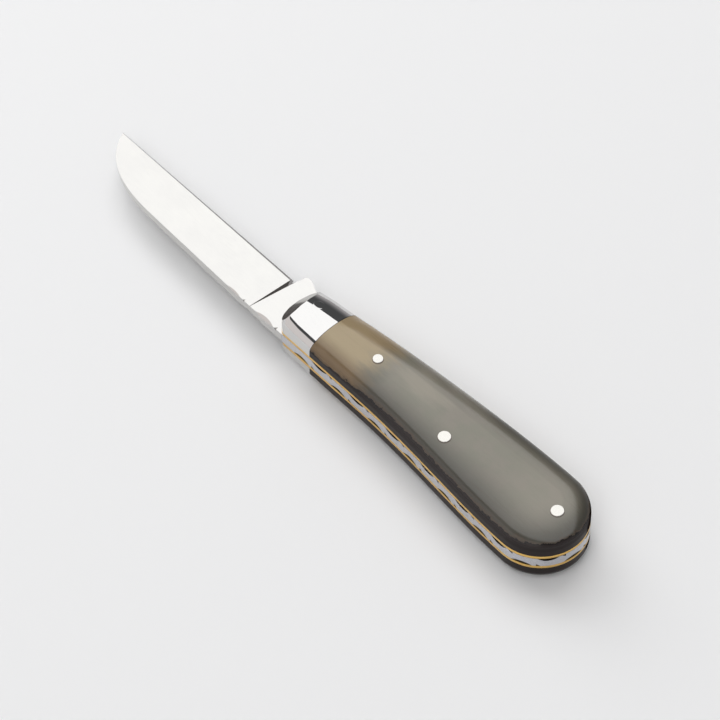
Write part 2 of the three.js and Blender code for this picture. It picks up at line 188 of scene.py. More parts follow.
# %% Room
PAPER = (0.87, 0.87, 0.87, 1)
WALL = (0.90, 0.85, 0.84, 1)
DARK = (0.090, 0.091, 0.094, 1)
HORIZON = (0.52, 0.50, 0.51, 1)
WALL_TOP = 0.62
WALL_TOP_BLUR = 0.03
WALL_TOP_LEAN = -0.12  # how the top's height changes from the belly's side to the back's
WALL_TURN = 0.9  # how far the wall is turned towards the tip's side
WALL_END_BLUR = 0.05
DARK_FROM = 0.46

world = bpy.data.worlds.new("room")
bpy.context.scene.world = world
world.use_nodes = True
world.cycles_visibility.diffuse = False
tree = world.node_tree
tree.nodes.clear()
direction = add_node(tree, "ShaderNodeTexCoord").outputs["Generated"]
split = add_node(tree, "ShaderNodeSeparateXYZ", {0: direction}).outputs
rise = calculate(tree, "MULTIPLY_ADD", split["Y"], WALL_TOP_LEAN, split["Z"])
above_top = ease(tree, rise, WALL_TOP - WALL_TOP_BLUR, WALL_TOP)
below_top = calculate(tree, "SUBTRACT", 1.0, above_top)
turned = calculate(tree, "MULTIPLY_ADD", split["X"], WALL_TURN, split["Y"])
wall = both(tree, below_top, ease(tree, turned, -WALL_END_BLUR, WALL_END_BLUR))
clear = calculate(tree, "SUBTRACT", 1.0, ease(tree, split["Z"], 0.0, DARK_FROM))
room = blend(tree, clear, DARK, HORIZON)
room = blend(tree, wall, room, WALL)
seen = add_node(tree, "ShaderNodeLightPath").outputs["Is Camera Ray"]
shown = blend(tree, seen, room, PAPER)
background = add_node(tree, "ShaderNodeBackground", {"Color": shown, "Strength": 1.0})
add_node(tree, "ShaderNodeOutputWorld", {"Surface": background.outputs[0]})
print("The room is made of", len(tree.nodes), "nodes")

# %% [markdown]
# The floor is one large sheet of matt paper. A grid of a single square is enough, and
# with no specular light it takes no shine from the lamps, which keeps it evenly pale.

# %% Floor
FLOOR_HALF = 4.0  # in metres
FLOOR_COLOUR = (0.87, 0.87, 0.875, 1)

floor_mesh = bpy.data.meshes.new("floor")
floor_shape = bmesh.new()
bmesh.ops.create_grid(floor_shape, x_segments=1, y_segments=1, size=FLOOR_HALF)
floor_shape.to_mesh(floor_mesh)
floor_shape.free()
floor = bpy.data.objects.new("floor", floor_mesh)
bpy.context.scene.collection.objects.link(floor)
paper = bpy.data.materials.new("paper")
paper.use_nodes = True
paper_shader = paper.node_tree.nodes["Principled BSDF"]
paper_shader.inputs["Base Color"].default_value = FLOOR_COLOUR
paper_shader.inputs["Roughness"].default_value = 1.0
paper_shader.inputs["Specular IOR Level"].default_value = 0.0
floor_mesh.materials.append(paper)
print("The floor is", 2 * FLOOR_HALF, "m wide")

# %% [markdown]
# ## Shared surface effects
# An effect that several materials share is a node group: it is built once, and each
# material places it with values of its own. A group here puts out a mask from 0 to 1, and
# the material decides what the mask does. Positions come in as millimetres.

# %% Helpers for node groups
def new_group(name, inputs, outputs):
    group = bpy.data.node_groups.new(name, "ShaderNodeTree")
    for label, kind, default in inputs:
        socket = group.interface.new_socket(label, in_out="INPUT", socket_type=kind)
        if default is not None:
            socket.default_value = default
    for label in outputs:
        group.interface.new_socket(label, in_out="OUTPUT", socket_type="NodeSocketFloat")
    return group, add_node(group, "NodeGroupInput").outputs


def close_group(group, **values):
    add_node(group, "NodeGroupOutput", values)
    return group


def use_group(tree, group, **inputs):
    made = add_node(tree, "ShaderNodeGroup", node_tree=group)
    for label, value in inputs.items():
        fill_socket(tree, made.inputs[label], value)
    return made.outputs["Mask"]


# %% [markdown]
# Polishing leaves hairlines that run along the knife. Noise gives them when it is drawn
# out in one direction, so the position along the knife is divided by Length, which says
# how many times longer than wide a line is. Density is the noise's scale across them.

# %% Hairlines
HAIRLINE_SPAN = (0.35, 0.7)  # of the noise, from no line to a full one


def make_hairlines():
    group, given = new_group(
        "hairlines",
        [("Position", "NodeSocketVector", None), ("Density", "NodeSocketFloat", 6.0),
         ("Length", "NodeSocketFloat", 12.0)],
        ["Mask"])
    part = add_node(group, "ShaderNodeSeparateXYZ", {0: given["Position"]}).outputs
    along = calculate(group, "DIVIDE", part["X"], given["Length"])
    drawn = add_node(group, "ShaderNodeCombineXYZ", {"X": along, "Y": part["Y"], "Z": part["Z"]})
    noise = add_node(group, "ShaderNodeTexNoise", {
        "Vector": drawn.outputs[0], "Scale": given["Density"], "Detail": 3.0})
    return close_group(group, Mask=ease(group, noise.outputs["Fac"], *HAIRLINE_SPAN))


HAIRLINES = make_hairlines()
print("hairlines has", len(HAIRLINES.nodes), "nodes")

# %% [markdown]
# Hands leave faint clouds of dullness on metal, and horn has clouds of colour. Both come
# from wide, even noise.

# %% Clouds
CLOUD_SPAN = (0.35, 0.65)


def make_clouds():
    group, given = new_group(
        "clouds",
        [("Position", "NodeSocketVector", None), ("Scale", "NodeSocketFloat", 0.12)],
        ["Mask"])
    noise = add_node(group, "ShaderNodeTexNoise", {
        "Vector": given["Position"], "Scale": given["Scale"], "Detail": 4.0, "Roughness": 0.6})
    return close_group(group, Mask=ease(group, noise.outputs["Fac"], *CLOUD_SPAN))


CLOUDS = make_clouds()
print("clouds has", len(CLOUDS.nodes), "nodes")

# %% [markdown]
# ## Helpers for materials
# Every material starts with the position on the piece. Object coordinates are used,
# because they stay with the piece when the blade turns. A Mapping node turns their metres
# into millimetres.

# %% Material helpers
TO_MM = (1 / MM, 1 / MM, 1 / MM)


def start_material(name):
    """A material's tree, its main shader and the position on the piece in millimetres."""
    material = bpy.data.materials.new(name)
    material.use_nodes = True
    tree = material.node_tree
    place = add_node(tree, "ShaderNodeTexCoord").outputs["Object"]
    position = add_node(tree, "ShaderNodeMapping", {"Vector": place, "Scale": TO_MM})
    return material, tree, tree.nodes["Principled BSDF"], position.outputs[0]


def feed(tree, shader, **inputs):
    """Fills the shader's sockets. An underscore stands for the blank in a socket's name."""
    for label, value in inputs.items():
        fill_socket(tree, shader.inputs[label.replace("_", " ")], value)


def bump(tree, height, depth):
    """A normal from a height mask; depth is in millimetres."""
    made = add_node(tree, "ShaderNodeBump", {
        "Height": height, "Distance": depth * MM, "Strength": 1.0})
    return made.outputs["Normal"]


def spread(tree, mask, low, high):
    """Low where the mask is 0 and high where it is 1."""
    made = add_node(tree, "ShaderNodeMapRange", {"Value": mask, "To Min": low, "To Max": high})
    return made.outputs["Result"]


def attribute(tree, name):
    """A number that the mesh carries on each of its points."""
    return add_node(tree, "ShaderNodeAttribute", attribute_name=name).outputs["Fac"]


# %% [markdown]
# ## Metals
# Polished steel is a mirror with very fine lines. The spring is the same steel with a
# coarser file finish, the liners are brass, and the pins are nickel silver. One function
# makes them all: hairlines and clouds mix a bright and a dull colour, and a smaller and a
# larger roughness. The depth of the lines is in millimetres.

# %% Metal materials
LINES_SHARE = 0.6
CLOUDS_SHARE = 0.4
BOLSTER_FINISH = {
    "bright": (0.64, 0.635, 0.623, 1), "dull": (0.623, 0.617, 0.61, 1),
    "gloss": (0.03, 0.05), "line_depth": 0.0001}


def make_metal(name, bright, dull, gloss, line_depth, density=6.0, length=14.0):
    """gloss holds the roughness of the bright and of the dull places."""
    material, tree, shader, position = start_material(name)
    lines = use_group(tree, HAIRLINES, Position=position, Density=density, Length=length)
    clouds = use_group(tree, CLOUDS, Position=position)
    marks = calculate(tree, "ADD", both(tree, lines, LINES_SHARE),
                      both(tree, clouds, CLOUDS_SHARE), clamp=True)
    feed(tree, shader, Base_Color=blend(tree, marks, bright, dull), Metallic=1.0,
         Roughness=spread(tree, marks, *gloss), Normal=bump(tree, lines, line_depth))
    print("Made", name)
    return material


BLADE_STEEL = make_metal(
    "blade_steel", bright=(0.63, 0.623, 0.603, 1), dull=(0.607, 0.60, 0.586, 1),
    gloss=(0.06, 0.10), line_depth=0.0002)
BOLSTER_STEEL = make_metal("bolster_steel", **BOLSTER_FINISH)
SPRING_STEEL = make_metal(
    "spring_steel", bright=(0.62, 0.62, 0.655, 1), dull=(0.53, 0.53, 0.565, 1),
    gloss=(0.22, 0.34), line_depth=0.002, density=5.0, length=4.0)
BRASS = make_metal(
    "brass", bright=(0.86, 0.56, 0.17, 1), dull=(0.72, 0.44, 0.12, 1),
    gloss=(0.16, 0.30), line_depth=0.001)
NICKEL = make_metal(
    "nickel_silver", bright=(0.65, 0.638, 0.60, 1), dull=(0.63, 0.616, 0.58, 1),
    gloss=(0.10, 0.18), line_depth=0.0004, density=9.0, length=2.0)

# %% [markdown]
# ## Painted dark places on metal
# Some places on the metal are painted dark: painted shade in the spring's notches and on the liners
# beside them, a painted reflection at the foot of the bolster's nose, and a darkened plunge. One
# function darkens and dulls a finished metal where a mask is 1. It takes what already feeds the
# shader and mixes the dark colour into it, so the lines and clouds below stay as they are.

# %% Painting a metal dark
# The dark colour of painted shade, of a painted reflection and of the darkened plunge
PAINTED_DARK = (0.035, 0.030, 0.028, 1)
CLEAN = (1, 1, 1, 1)
PAINTED_DARK_ROUGHNESS = 0.3  # added to the metal's own


def paint_dark(material, make_mask):
    """Darkens a finished metal where the mask that make_mask(tree) returns is 1."""
    tree = material.node_tree
    shader = tree.nodes["Principled BSDF"]
    mask = make_mask(tree)
    colour = shader.inputs["Base Color"].links[0].from_socket
    gloss = shader.inputs["Roughness"].links[0].from_socket
    feed(tree, shader, Base_Color=blend(tree, mask, colour, PAINTED_DARK))
    rough = calculate(tree, "MULTIPLY_ADD", mask, PAINTED_DARK_ROUGHNESS, gloss, clamp=True)
    feed(tree, shader, Roughness=rough, Specular_Tint=blend(tree, mask, CLEAN, PAINTED_DARK))
    print("Darkened", material.name)
    return material


# %% [markdown]
# The foot of the bolster's nose, where it meets the tang, gets a painted dark reflection, and the
# plunge, where the ground faces of the blade begin, is darkened. Both are slopes that lean towards
# the tip, so the surface's own normal finds them: a normal is 1 long, and its x tells how far the
# face leans. The position then keeps each mask to its own place.

# %% Foot of the nose and plunge
LEAN_BLUR = 0.1
NOSE_LEAN = 0.45
NOSE_REFLECTION_FRONT = (1.5, 2.0)  # x, from unpainted to painted
NOSE_REFLECTION_BACK = (0.8, 2.8)  # y, from lightly to fully painted
NOSE_REFLECTION_LEAST = 0.3
NOSE_REFLECTION_MORE = 0.42
PLUNGE_LEAN = 0.25
PLUNGE_STEEPNESS = 0.6
PLUNGE_FRONT = (25.0, 20.0)  # x, from plain to darkened
PLUNGE_DARKNESS = 0.85


def ramp_mask(tree, least_x, least_z):
    """1 on faces that lean towards the tip, and the position in millimetres."""
    coordinates = add_node(tree, "ShaderNodeTexCoord").outputs
    lean = add_node(tree, "ShaderNodeSeparateXYZ", {0: coordinates["Normal"]}).outputs
    scaled = add_node(tree, "ShaderNodeMapping", {
        "Vector": coordinates["Object"], "Scale": TO_MM}).outputs[0]
    steep = calculate(tree, "ABSOLUTE", lean["Z"])
    ramp = both(tree, ease(tree, lean["X"], least_x, least_x + LEAN_BLUR),
                ease(tree, steep, least_z, least_z + LEAN_BLUR))
    return ramp, add_node(tree, "ShaderNodeSeparateXYZ", {0: scaled}).outputs


# Painted reflection: the dark foot of the bolster's nose
def nose_painted_reflection(tree):
    ramp, place = ramp_mask(tree, NOSE_LEAN, NOSE_LEAN)
    dark_reflection = calculate(tree, "MULTIPLY_ADD", ease(tree, place["Y"], *NOSE_REFLECTION_BACK),
                      NOSE_REFLECTION_MORE, NOSE_REFLECTION_LEAST)
    dark_reflection = both(tree, dark_reflection, ease(tree, place["X"], *NOSE_REFLECTION_FRONT))
    return both(tree, ramp, dark_reflection)


# The plunge's ramp is darkened
def plunge_darkening(tree):
    ramp, place = ramp_mask(tree, PLUNGE_LEAN, PLUNGE_STEEPNESS)
    ramp = both(tree, ramp, ease(tree, place["X"], *PLUNGE_FRONT))
    return both(tree, ramp, PLUNGE_DARKNESS)


NOSE_STEEL = paint_dark(make_metal("bolster_steel_nose", **BOLSTER_FINISH), nose_painted_reflection)
BLADE_STEEL = paint_dark(BLADE_STEEL, plunge_darkening)

# %% [markdown]
# Painted shade darkens the filed notches of the spring, and the inner faces of the liners, which
# lie in shade against the spring. Ahead of the joint of bolster and scale the notches get none and
# the liners less. The spring's mesh carries its depth below the back, which finds the notches, and
# the height finds the inner faces of the liners.

# %% Painted shade along the spring
SHADE_BEHIND_JOINT = (-6.8 * MM, -7.8 * MM)  # x, from unpainted to painted, in metres as the node gives it
GAP_HALF = 1.55  # from the middle plane to a liner's inner face
SHADED_FACE = (GAP_HALF + 0.07, GAP_HALF + 0.02)  # height from the middle plane
GAP_SHADE_LEAST = 0.65
GAP_SHADE_MORE = 0.25
NOTCH_TOP = (0.03, 0.10)  # depth below the back, from unpainted to painted shade
NOTCH_FLOOR = (1.3, 1.0)  # deeper than this it is unpainted again
NOTCH_SHADE_SHARE = 0.95


def object_place(tree):
    place = add_node(tree, "ShaderNodeTexCoord").outputs["Object"]
    return add_node(tree, "ShaderNodeSeparateXYZ", {0: place}).outputs


def behind_bolster(tree):
    """1 behind the joint of bolster and scale, 0 ahead of it."""
    return ease(tree, object_place(tree)["X"], *SHADE_BEHIND_JOINT)


def gap_painted_shade(tree):
    """Painted shade on the faces of a liner that lie against the spring, lighter under the bolster.
    """
    height = calculate(tree, "MULTIPLY_ADD", object_place(tree)["Z"], 1 / MM, -MIDDLE_HEIGHT)
    away = calculate(tree, "ABSOLUTE", height)
    gap_shade = calculate(tree, "MULTIPLY_ADD", behind_bolster(tree), GAP_SHADE_MORE, GAP_SHADE_LEAST)
    return both(tree, ease(tree, away, *SHADED_FACE), gap_shade)


# Painted shade in the filed notches
def notch_painted_shade(tree):
    depth = attribute(tree, "depth")
    cut = both(tree, ease(tree, depth, *NOTCH_TOP), ease(tree, depth, *NOTCH_FLOOR))
    return both(tree, cut, both(tree, behind_bolster(tree), NOTCH_SHADE_SHARE))


SPRING_STEEL = paint_dark(SPRING_STEEL, notch_painted_shade)
BRASS = paint_dark(BRASS, gap_painted_shade)

# %% [markdown]
# ## Horn
# The scales are polished horn: beige by the bolster, then grey, with dark bark along the
# wall. The masks read three attributes that the dome's mesh carries: skin, the distance
# up the surface from the liner, share, which goes from 0 at the rim to 1 on the middle
# line, and side, which is 1 on the back and -1 on the belly. Noise stretched along the
# handle breaks the borders up, because horn grows in layers.

# %% Colours of the horn
# The smoky and the brown colour are also those of the painted shade
HORN_BEIGE = (0.355, 0.277, 0.162, 1)
HORN_BROWN_SHADE = (0.175, 0.118, 0.065, 1)
HORN_GREY = (0.222, 0.202, 0.165, 1)
HORN_OLIVE = (0.205, 0.197, 0.155, 1)
HORN_PALE = (0.272, 0.248, 0.198, 1)
HORN_SMOKE_SHADE = (0.038, 0.036, 0.030, 1)
HORN_BARK = (0.018, 0.012, 0.011, 1)
HORN_RIND = (0.085, 0.060, 0.042, 1)
HORN_LINE = (0.005, 0.004, 0.004, 1)
HORN_DIRT_AND_SHADE = (0.050, 0.026, 0.018, 1)


def scaled_noise(tree, position, scale, **settings):
    place = add_node(tree, "ShaderNodeMapping", {"Vector": position, "Scale": scale})
    noise = add_node(tree, "ShaderNodeTexNoise", {
        "Vector": place.outputs[0], "Scale": 1.0, "Detail": 5.0, "Roughness": 0.6, **settings})
    return noise.outputs["Fac"]


def mix_value(tree, share, first, second):
    """first where share is 0 and second where it is 1; the two are numbers or sockets."""
    made = add_node(tree, "ShaderNodeMix", {0: share, 2: first, 3: second}, data_type="FLOAT")
    return made.outputs[0]


# %% [markdown]
# A pale cloud lies in the middle of the real scale, and two smoky ones near its front. A
# cloud is the distance from its middle, measured in its own half sizes: a Mapping node
# moves and scales the position, and the length of what comes out is 1 on the cloud's edge.
# Drift, the slow noise of the horn's layers, pulls that edge about.

# %% Clouds in the horn
PALE_CLOUD = (-36.0, -2.4, 13.0, 5.0)  # x, y, half length, half width
SMOKE_CLOUDS = ((-25.0, 4.5, 5.5, 5.5), (-21.5, -4.8, 8.0, 3.2))
CLOUD_DRIFT = 1.2
CLOUD_EDGE = (1.0, 0.2)
SMOKE_SHADE = -0.25


def horn_cloud(tree, position, drift, x, y, length, width):
    """A cloud in the horn's layers: 1 in its middle, fading to 0 at its half sizes."""
    scale = (1 / length, 1 / width, 0)
    offset = add_node(tree, "ShaderNodeMapping", {
        "Vector": position, "Location": (-x / length, -y / width, 0), "Scale": scale})
    away = add_node(tree, "ShaderNodeVectorMath", {0: offset.outputs[0]}, operation="LENGTH")
    away = calculate(tree, "MULTIPLY_ADD", drift, CLOUD_DRIFT, away.outputs["Value"])
    return ease(tree, away, *CLOUD_EDGE)


# %% [markdown]
# The horn is lightest on the crown. Towards the back it darkens evenly, partly the horn's own tone
# and partly painted shade, and towards the belly a painted reflection leaves a darker band with a
# clear edge. The spans named below are places along the handle, as x, or shares of the way from rim
# to middle line. Each goes from where a change starts to where it is complete.

# %% Light and dark across the horn
HEEL = (-66.0, -82.0)  # x
BACK_FALL = (-0.10, 1.0)  # share
BACK_FALL_HEEL = (-0.17, 0.95)  # share
BACK_FALL_FRONT = (0.15, 0.75)  # share
BELLY_RAISED = (-28.0, -12.0)  # x
BELLY_RAISE = -0.13
BELLY_EDGE = (0.52, 0.60)  # share
BELLY_FADES = (-40.0, -52.0)  # x
BELLY_LIGHT, BELLY_LIGHT_REAR, BELLY_LIGHT_FRONT = 0.76, 0.88, 0.60
BELLY_RIM = (0.02, 0.5)  # share
RIM_SHADED = (-42.0, -60.0)  # x


def horn_fall(tree, x, share, front):
    """How the back's shoulder, partly in painted shade, clears towards the keel."""
    rear = mix_value(tree, ease(tree, x, *HEEL), ease(tree, share, *BACK_FALL),
                     ease(tree, share, *BACK_FALL_HEEL))
    return mix_value(tree, front, rear, ease(tree, share, *BACK_FALL_FRONT))


def horn_belly(tree, x, share, front):
    """The belly's half: a darker band of painted reflection with a clear edge, and painted shade on
    the rim at the rear.
    """
    raised = ease(tree, x, *BELLY_RAISED)
    rise = calculate(tree, "MULTIPLY_ADD", raised, BELLY_RAISE, share)
    reflected_band = mix_value(tree, ease(tree, x, *BELLY_FADES), BELLY_LIGHT, BELLY_LIGHT_REAR)
    reflected_band = mix_value(tree, front, reflected_band, BELLY_LIGHT_FRONT)
    belly = mix_value(tree, ease(tree, rise, *BELLY_EDGE), reflected_band, 1.0)
    rim = ease(tree, share, *BELLY_RIM)
    return both(tree, belly, mix_value(tree, ease(tree, x, *RIM_SHADED), 1.0, rim))


# %% [markdown]
# The body of the horn puts these together. Its colours are mixed from the crown's grey, its pale
# places and the beige front, and the painted light and shade of the two halves then mixes in smoke
# or, at the front, brown, which serve as the painted shade's colours.

# %% Body of the horn
BORDER_DRIFT = 14.0
BORDER_LEAN = -1.5
BEIGE_FRONT = (-30.0, -19.0)  # x, from grey to beige
HEEL_PALENESS = 0.4


def horn_body(tree, position, x, share, back, drift, clouds):
    """The colour of the polished horn with its painted light and shade: light on the crown, darker
    towards both sides.
    """
    border = calculate(tree, "MULTIPLY_ADD", drift, BORDER_DRIFT, x)
    border = calculate(tree, "MULTIPLY_ADD", share, BORDER_LEAN, border)
    front = ease(tree, border, *BEIGE_FRONT)
    light = mix_value(tree, back, horn_belly(tree, x, share, front),
                      horn_fall(tree, x, share, front))
    for place in SMOKE_CLOUDS:
        cloud = horn_cloud(tree, position, drift, *place)
        light = both(tree, light, calculate(tree, "MULTIPLY_ADD", cloud, SMOKE_SHADE, 1.0))
    crown = blend(tree, clouds, HORN_GREY, HORN_OLIVE)
    crown = blend(tree, both(tree, ease(tree, x, *HEEL), HEEL_PALENESS), crown, HORN_PALE)
    crown = blend(tree, horn_cloud(tree, position, drift, *PALE_CLOUD), crown, HORN_PALE)
    crown = blend(tree, front, crown, HORN_BEIGE)
    return blend(tree, light, blend(tree, front, HORN_SMOKE_SHADE, HORN_BROWN_SHADE), crown)


# %% [markdown]
# Bark is the horn's rough outside. It is left along the wall with a ragged upper edge.
# Skin, the distance up from the liner, is set against a ridge that climbs along the
# handle, and chips and drift make the edge uneven. Below the edge is bark, on it a thin
# dark line, and just above it a brown rind. Heights are in millimetres of skin.

# %% Bark and streaks
RIDGE_CLIMB = (-8.0, -40.0)  # x
RIDGE_BACK = (2.4, 4.2)  # height of the bark's edge on the back, from front to rear
RIDGE_BELLY = (1.5, 3.6)  # and on the belly
RIND_FOOT = (0.0, 0.1)
RIND_TOP = (1.1, 0.3)
RIND_SHARE = 0.6
BARK_EDGE = (0.08, -0.08)
LINE_WIDTH = (0.24, 0.08)
STREAK_SPAN = (0.48, 0.72)  # of the noise, from none to full
STREAKS_LOW = (0.6, 0.0)  # share
STREAK_ON_CROWN, STREAK_AT_RIM = 0.05, 0.45


def horn_bark(tree, colour, skin, back, x, rear, ragged):
    """Dark bark along the wall, with a thin line at its ragged edge and rind above it."""
    ridge = mix_value(tree, back, mix_value(tree, rear, *RIDGE_BELLY),
                      mix_value(tree, ease(tree, x, *RIDGE_CLIMB), *RIDGE_BACK))
    above = calculate(tree, "SUBTRACT", calculate(tree, "ADD", skin, ragged), ridge)
    rind = both(tree, ease(tree, above, *RIND_FOOT), ease(tree, above, *RIND_TOP))
    colour = blend(tree, both(tree, rind, RIND_SHARE), colour, HORN_RIND)
    colour = blend(tree, ease(tree, above, *BARK_EDGE), colour, HORN_BARK)
    line = ease(tree, calculate(tree, "ABSOLUTE", above), *LINE_WIDTH)
    return blend(tree, line, colour, HORN_LINE)


def horn_streaks(tree, colour, streak, share):
    """Dark streaks along the layers, which show most near the rim."""
    low = ease(tree, share, *STREAKS_LOW)
    deep = both(tree, ease(tree, streak, *STREAK_SPAN),
                mix_value(tree, low, STREAK_ON_CROWN, STREAK_AT_RIM))
    return blend(tree, deep, colour, HORN_RIND)


# %% [markdown]
# A thin dark crescent of polishing dirt and painted shade lies against one side of each pin. Each
# pin's place is measured on the CAD model, and a disc slightly larger than the pin is set a little
# off it, so that only one side of its rim shows.

# %% Dirt and painted shade round the pins
PIN_DIRT_SHADE_OFFSET = Vector((-0.20, 0.18))
PIN_DIRT_SHADE_WIDTH = 0.18
PIN_DIRT_SHADE_SHARE = 0.75


def cad_pin(name):
    """The place and radius of a CAD pin, in millimetres."""
    low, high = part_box(name)
    return (low.x + high.x) / 2 / MM, (low.y + high.y) / 2 / MM, (high.x - low.x) / 2 / MM


PIN_PLACES = [cad_pin(name) for name in ("scale_pin_upper", "centre_pin", "butt_pin")]
print("Pins in mm:", [[round(c, 4) for c in place] for place in PIN_PLACES])


# Polishing dirt and painted shade on one side of each pin
def pin_dirt_and_shade(tree, colour, position):
    for x, y, radius in PIN_PLACES:
        offset = add_node(tree, "ShaderNodeMapping", {
            "Vector": position, "Location": (-x - PIN_DIRT_SHADE_OFFSET.x, -y - PIN_DIRT_SHADE_OFFSET.y, 0),
            "Scale": (1, 1, 0)})
        away = add_node(tree, "ShaderNodeVectorMath", {0: offset.outputs[0]}, operation="LENGTH")
        dirt_and_shade = ease(tree, away.outputs["Value"], radius + PIN_DIRT_SHADE_WIDTH, radius)
        colour = blend(tree, both(tree, dirt_and_shade, PIN_DIRT_SHADE_SHARE), colour, HORN_DIRT_AND_SHADE)
    return colour


# %% [markdown]
# The finished horn layers all of this from the inside out: body with its painted light and shade,
# streaks, bark, dirt and painted shade round the pins, and the dark joint line against the bolster.
# The wall is less polished than the crown, and the belly's rim at the rear reflects least. The
# plain CAD scales carry no attributes, so their material is made with fixed numbers in their place.

# %% Horn material
DRIFT_SCALE = (0.07, 0.35, 0.35)
STREAK_SCALE = (0.12, 1.7, 1.7)
CHIP_SCALE = (0.45, 0.7, 0.7)
HORN_CLOUD_SCALE = 0.16
BACK_SIDE = (-0.75, 0.2)  # side, from belly to back
REAR = (-46.0, -72.0)  # x
CHIP_DEPTH = 2.6
RIDGE_DRIFT = 2.0
JOINT_LINE = (-7.56, -7.50)  # x
STREAK_RELIEF = 0.006
HORN_IOR = 1.54
POLISHED = (2.0, 5.0)  # skin
WALL_ROUGHNESS, CROWN_ROUGHNESS = 0.34, 0.19
WALL_GLOSS, CROWN_GLOSS = 0.12, 0.5
WORN_RIM = (0.45, 0.05)  # share
WORN_SIDE = (-0.1, -0.7)  # side
WORN_GLOSS = -0.34


def horn_gloss(tree, x, skin, share, side):
    """The horn's roughness and the strength of its reflection."""
    polish = ease(tree, skin, *POLISHED)
    worn = both(tree, ease(tree, x, *RIM_SHADED), ease(tree, share, *WORN_RIM))
    worn = both(tree, worn, ease(tree, side, *WORN_SIDE))
    clean = mix_value(tree, polish, WALL_GLOSS, CROWN_GLOSS)
    gloss = calculate(tree, "MULTIPLY_ADD", worn, WORN_GLOSS, clean)
    return mix_value(tree, polish, WALL_ROUGHNESS, CROWN_ROUGHNESS), gloss


def make_horn(name, **known):
    """known gives numbers for the attributes that a mesh doesn't carry."""
    material, tree, shader, position = start_material(name)
    x = add_node(tree, "ShaderNodeSeparateXYZ", {0: position}).outputs["X"]
    skin, share, side = (known[mark] if known else attribute(tree, mark)
                         for mark in ("skin", "share", "side"))
    drift = calculate(tree, "SUBTRACT", scaled_noise(tree, position, DRIFT_SCALE), 0.5)
    streak = scaled_noise(tree, position, STREAK_SCALE)
    chips = calculate(tree, "SUBTRACT", scaled_noise(tree, position, CHIP_SCALE), 0.5)
    clouds = use_group(tree, CLOUDS, Position=position, Scale=HORN_CLOUD_SCALE)
    back = ease(tree, side, *BACK_SIDE)
    rear = ease(tree, x, *REAR)
    colour = horn_body(tree, position, x, share, back, drift, clouds)
    colour = horn_streaks(tree, colour, streak, share)
    ragged = calculate(tree, "MULTIPLY_ADD", chips, CHIP_DEPTH, both(tree, drift, RIDGE_DRIFT))
    colour = horn_bark(tree, colour, skin, back, x, rear, ragged)
    colour = pin_dirt_and_shade(tree, colour, position)
    colour = blend(tree, ease(tree, x, *JOINT_LINE), colour, HORN_LINE)
    relief = bump(tree, streak, STREAK_RELIEF)
    feed(tree, shader, Base_Color=colour, Normal=relief, IOR=HORN_IOR)
    if known:
        feed(tree, shader, Roughness=CROWN_ROUGHNESS)
    else:
        rough, gloss = horn_gloss(tree, x, skin, share, side)
        feed(tree, shader, Roughness=rough, Specular_IOR_Level=gloss)
    print("Made", name, "with", len(tree.nodes), "nodes")
    return material


HORN = make_horn("horn")
PLAIN_HORN = make_horn("horn_plain", skin=6.0, share=0.7, side=0.0)

# %% [markdown]
# ## The handle's outline
# The covers and liners share one outline. It is a Bézier curve with a few points, drawn
# with handles as in the CAD model, and turned into a ring of fine edges. A ring can then
# be extruded into sheets and domes. The butt is a quarter circle and a quarter ellipse: a
# handle of QUARTER times the radius bends a Bézier curve very nearly to either.

# %% Outline of the handle
BACK_HEIGHT = 10.0
BUTT_X = -81.8  # the middle of the round butt
BUTT_Y = 0.05
BUTT_RADIUS = 13.0
BUTT_DEPTH = 12.3  # from the butt's middle to the belly
BUTT_END = BUTT_X - BUTT_RADIUS
BUTT_BACK = BUTT_Y + BUTT_RADIUS
BUTT_BELLY = BUTT_Y - BUTT_DEPTH
BUTT_LEAD = BUTT_X + 18.0  # the ends of the handles that lead into the butt
QUARTER = 0.5523
CURVE_STEPS = 60
NOSE_BULGE = 8.4
TOUCHING = 0.001 * MM  # what lies this close counts as one

OUTLINE = [  # point, handle behind it, handle ahead of it
    ((2.6, BACK_HEIGHT), (NOSE_BULGE, 7.6), (-6.27, BACK_HEIGHT)),
    ((-24.0, BACK_HEIGHT), (-15.13, BACK_HEIGHT), (-47.0, BACK_HEIGHT)),
    ((BUTT_X, BUTT_BACK), (BUTT_LEAD, BUTT_BACK), (BUTT_X - BUTT_RADIUS * QUARTER, BUTT_BACK)),
    ((BUTT_END, BUTT_Y), (BUTT_END, BUTT_Y + BUTT_RADIUS * QUARTER),
     (BUTT_END, BUTT_Y - BUTT_DEPTH * QUARTER)),
    ((BUTT_X, BUTT_BELLY), (BUTT_X - BUTT_RADIUS * QUARTER, BUTT_BELLY), (BUTT_LEAD, BUTT_BELLY)),
    ((-9.0, -6.4), (-30.0, -9.445), (-3.93, -5.87)),
    ((6.2, -4.8), (1.13, -5.33), (NOSE_BULGE, -1.428)),
]


def outline_ring():
    """A bmesh with the handle's outline as one closed ring of edges at height 0."""
    curve = bpy.data.curves.new("outline", "CURVE")
    curve.dimensions = "3D"
    spline = curve.splines.new("BEZIER")
    spline.bezier_points.add(len(OUTLINE) - 1)
    spline.use_cyclic_u = True
    spline.resolution_u = CURVE_STEPS
    for point, (place, behind, ahead) in zip(spline.bezier_points, OUTLINE):
        point.handle_left_type = point.handle_right_type = "FREE"
        point.co = Vector((*place, 0)) * MM
        point.handle_left = Vector((*behind, 0)) * MM
        point.handle_right = Vector((*ahead, 0)) * MM
    holder = bpy.data.objects.new("outline", curve)
    ring = bmesh.new()
    ring.from_mesh(bpy.data.meshes.new_from_object(holder))
    bmesh.ops.remove_doubles(ring, verts=ring.verts[:], dist=TOUCHING)
    bpy.data.objects.remove(holder)
    return ring


ring = outline_ring()
print("Outline ring:", len(ring.verts), "points,", len(ring.edges), "edges")
ring.free()

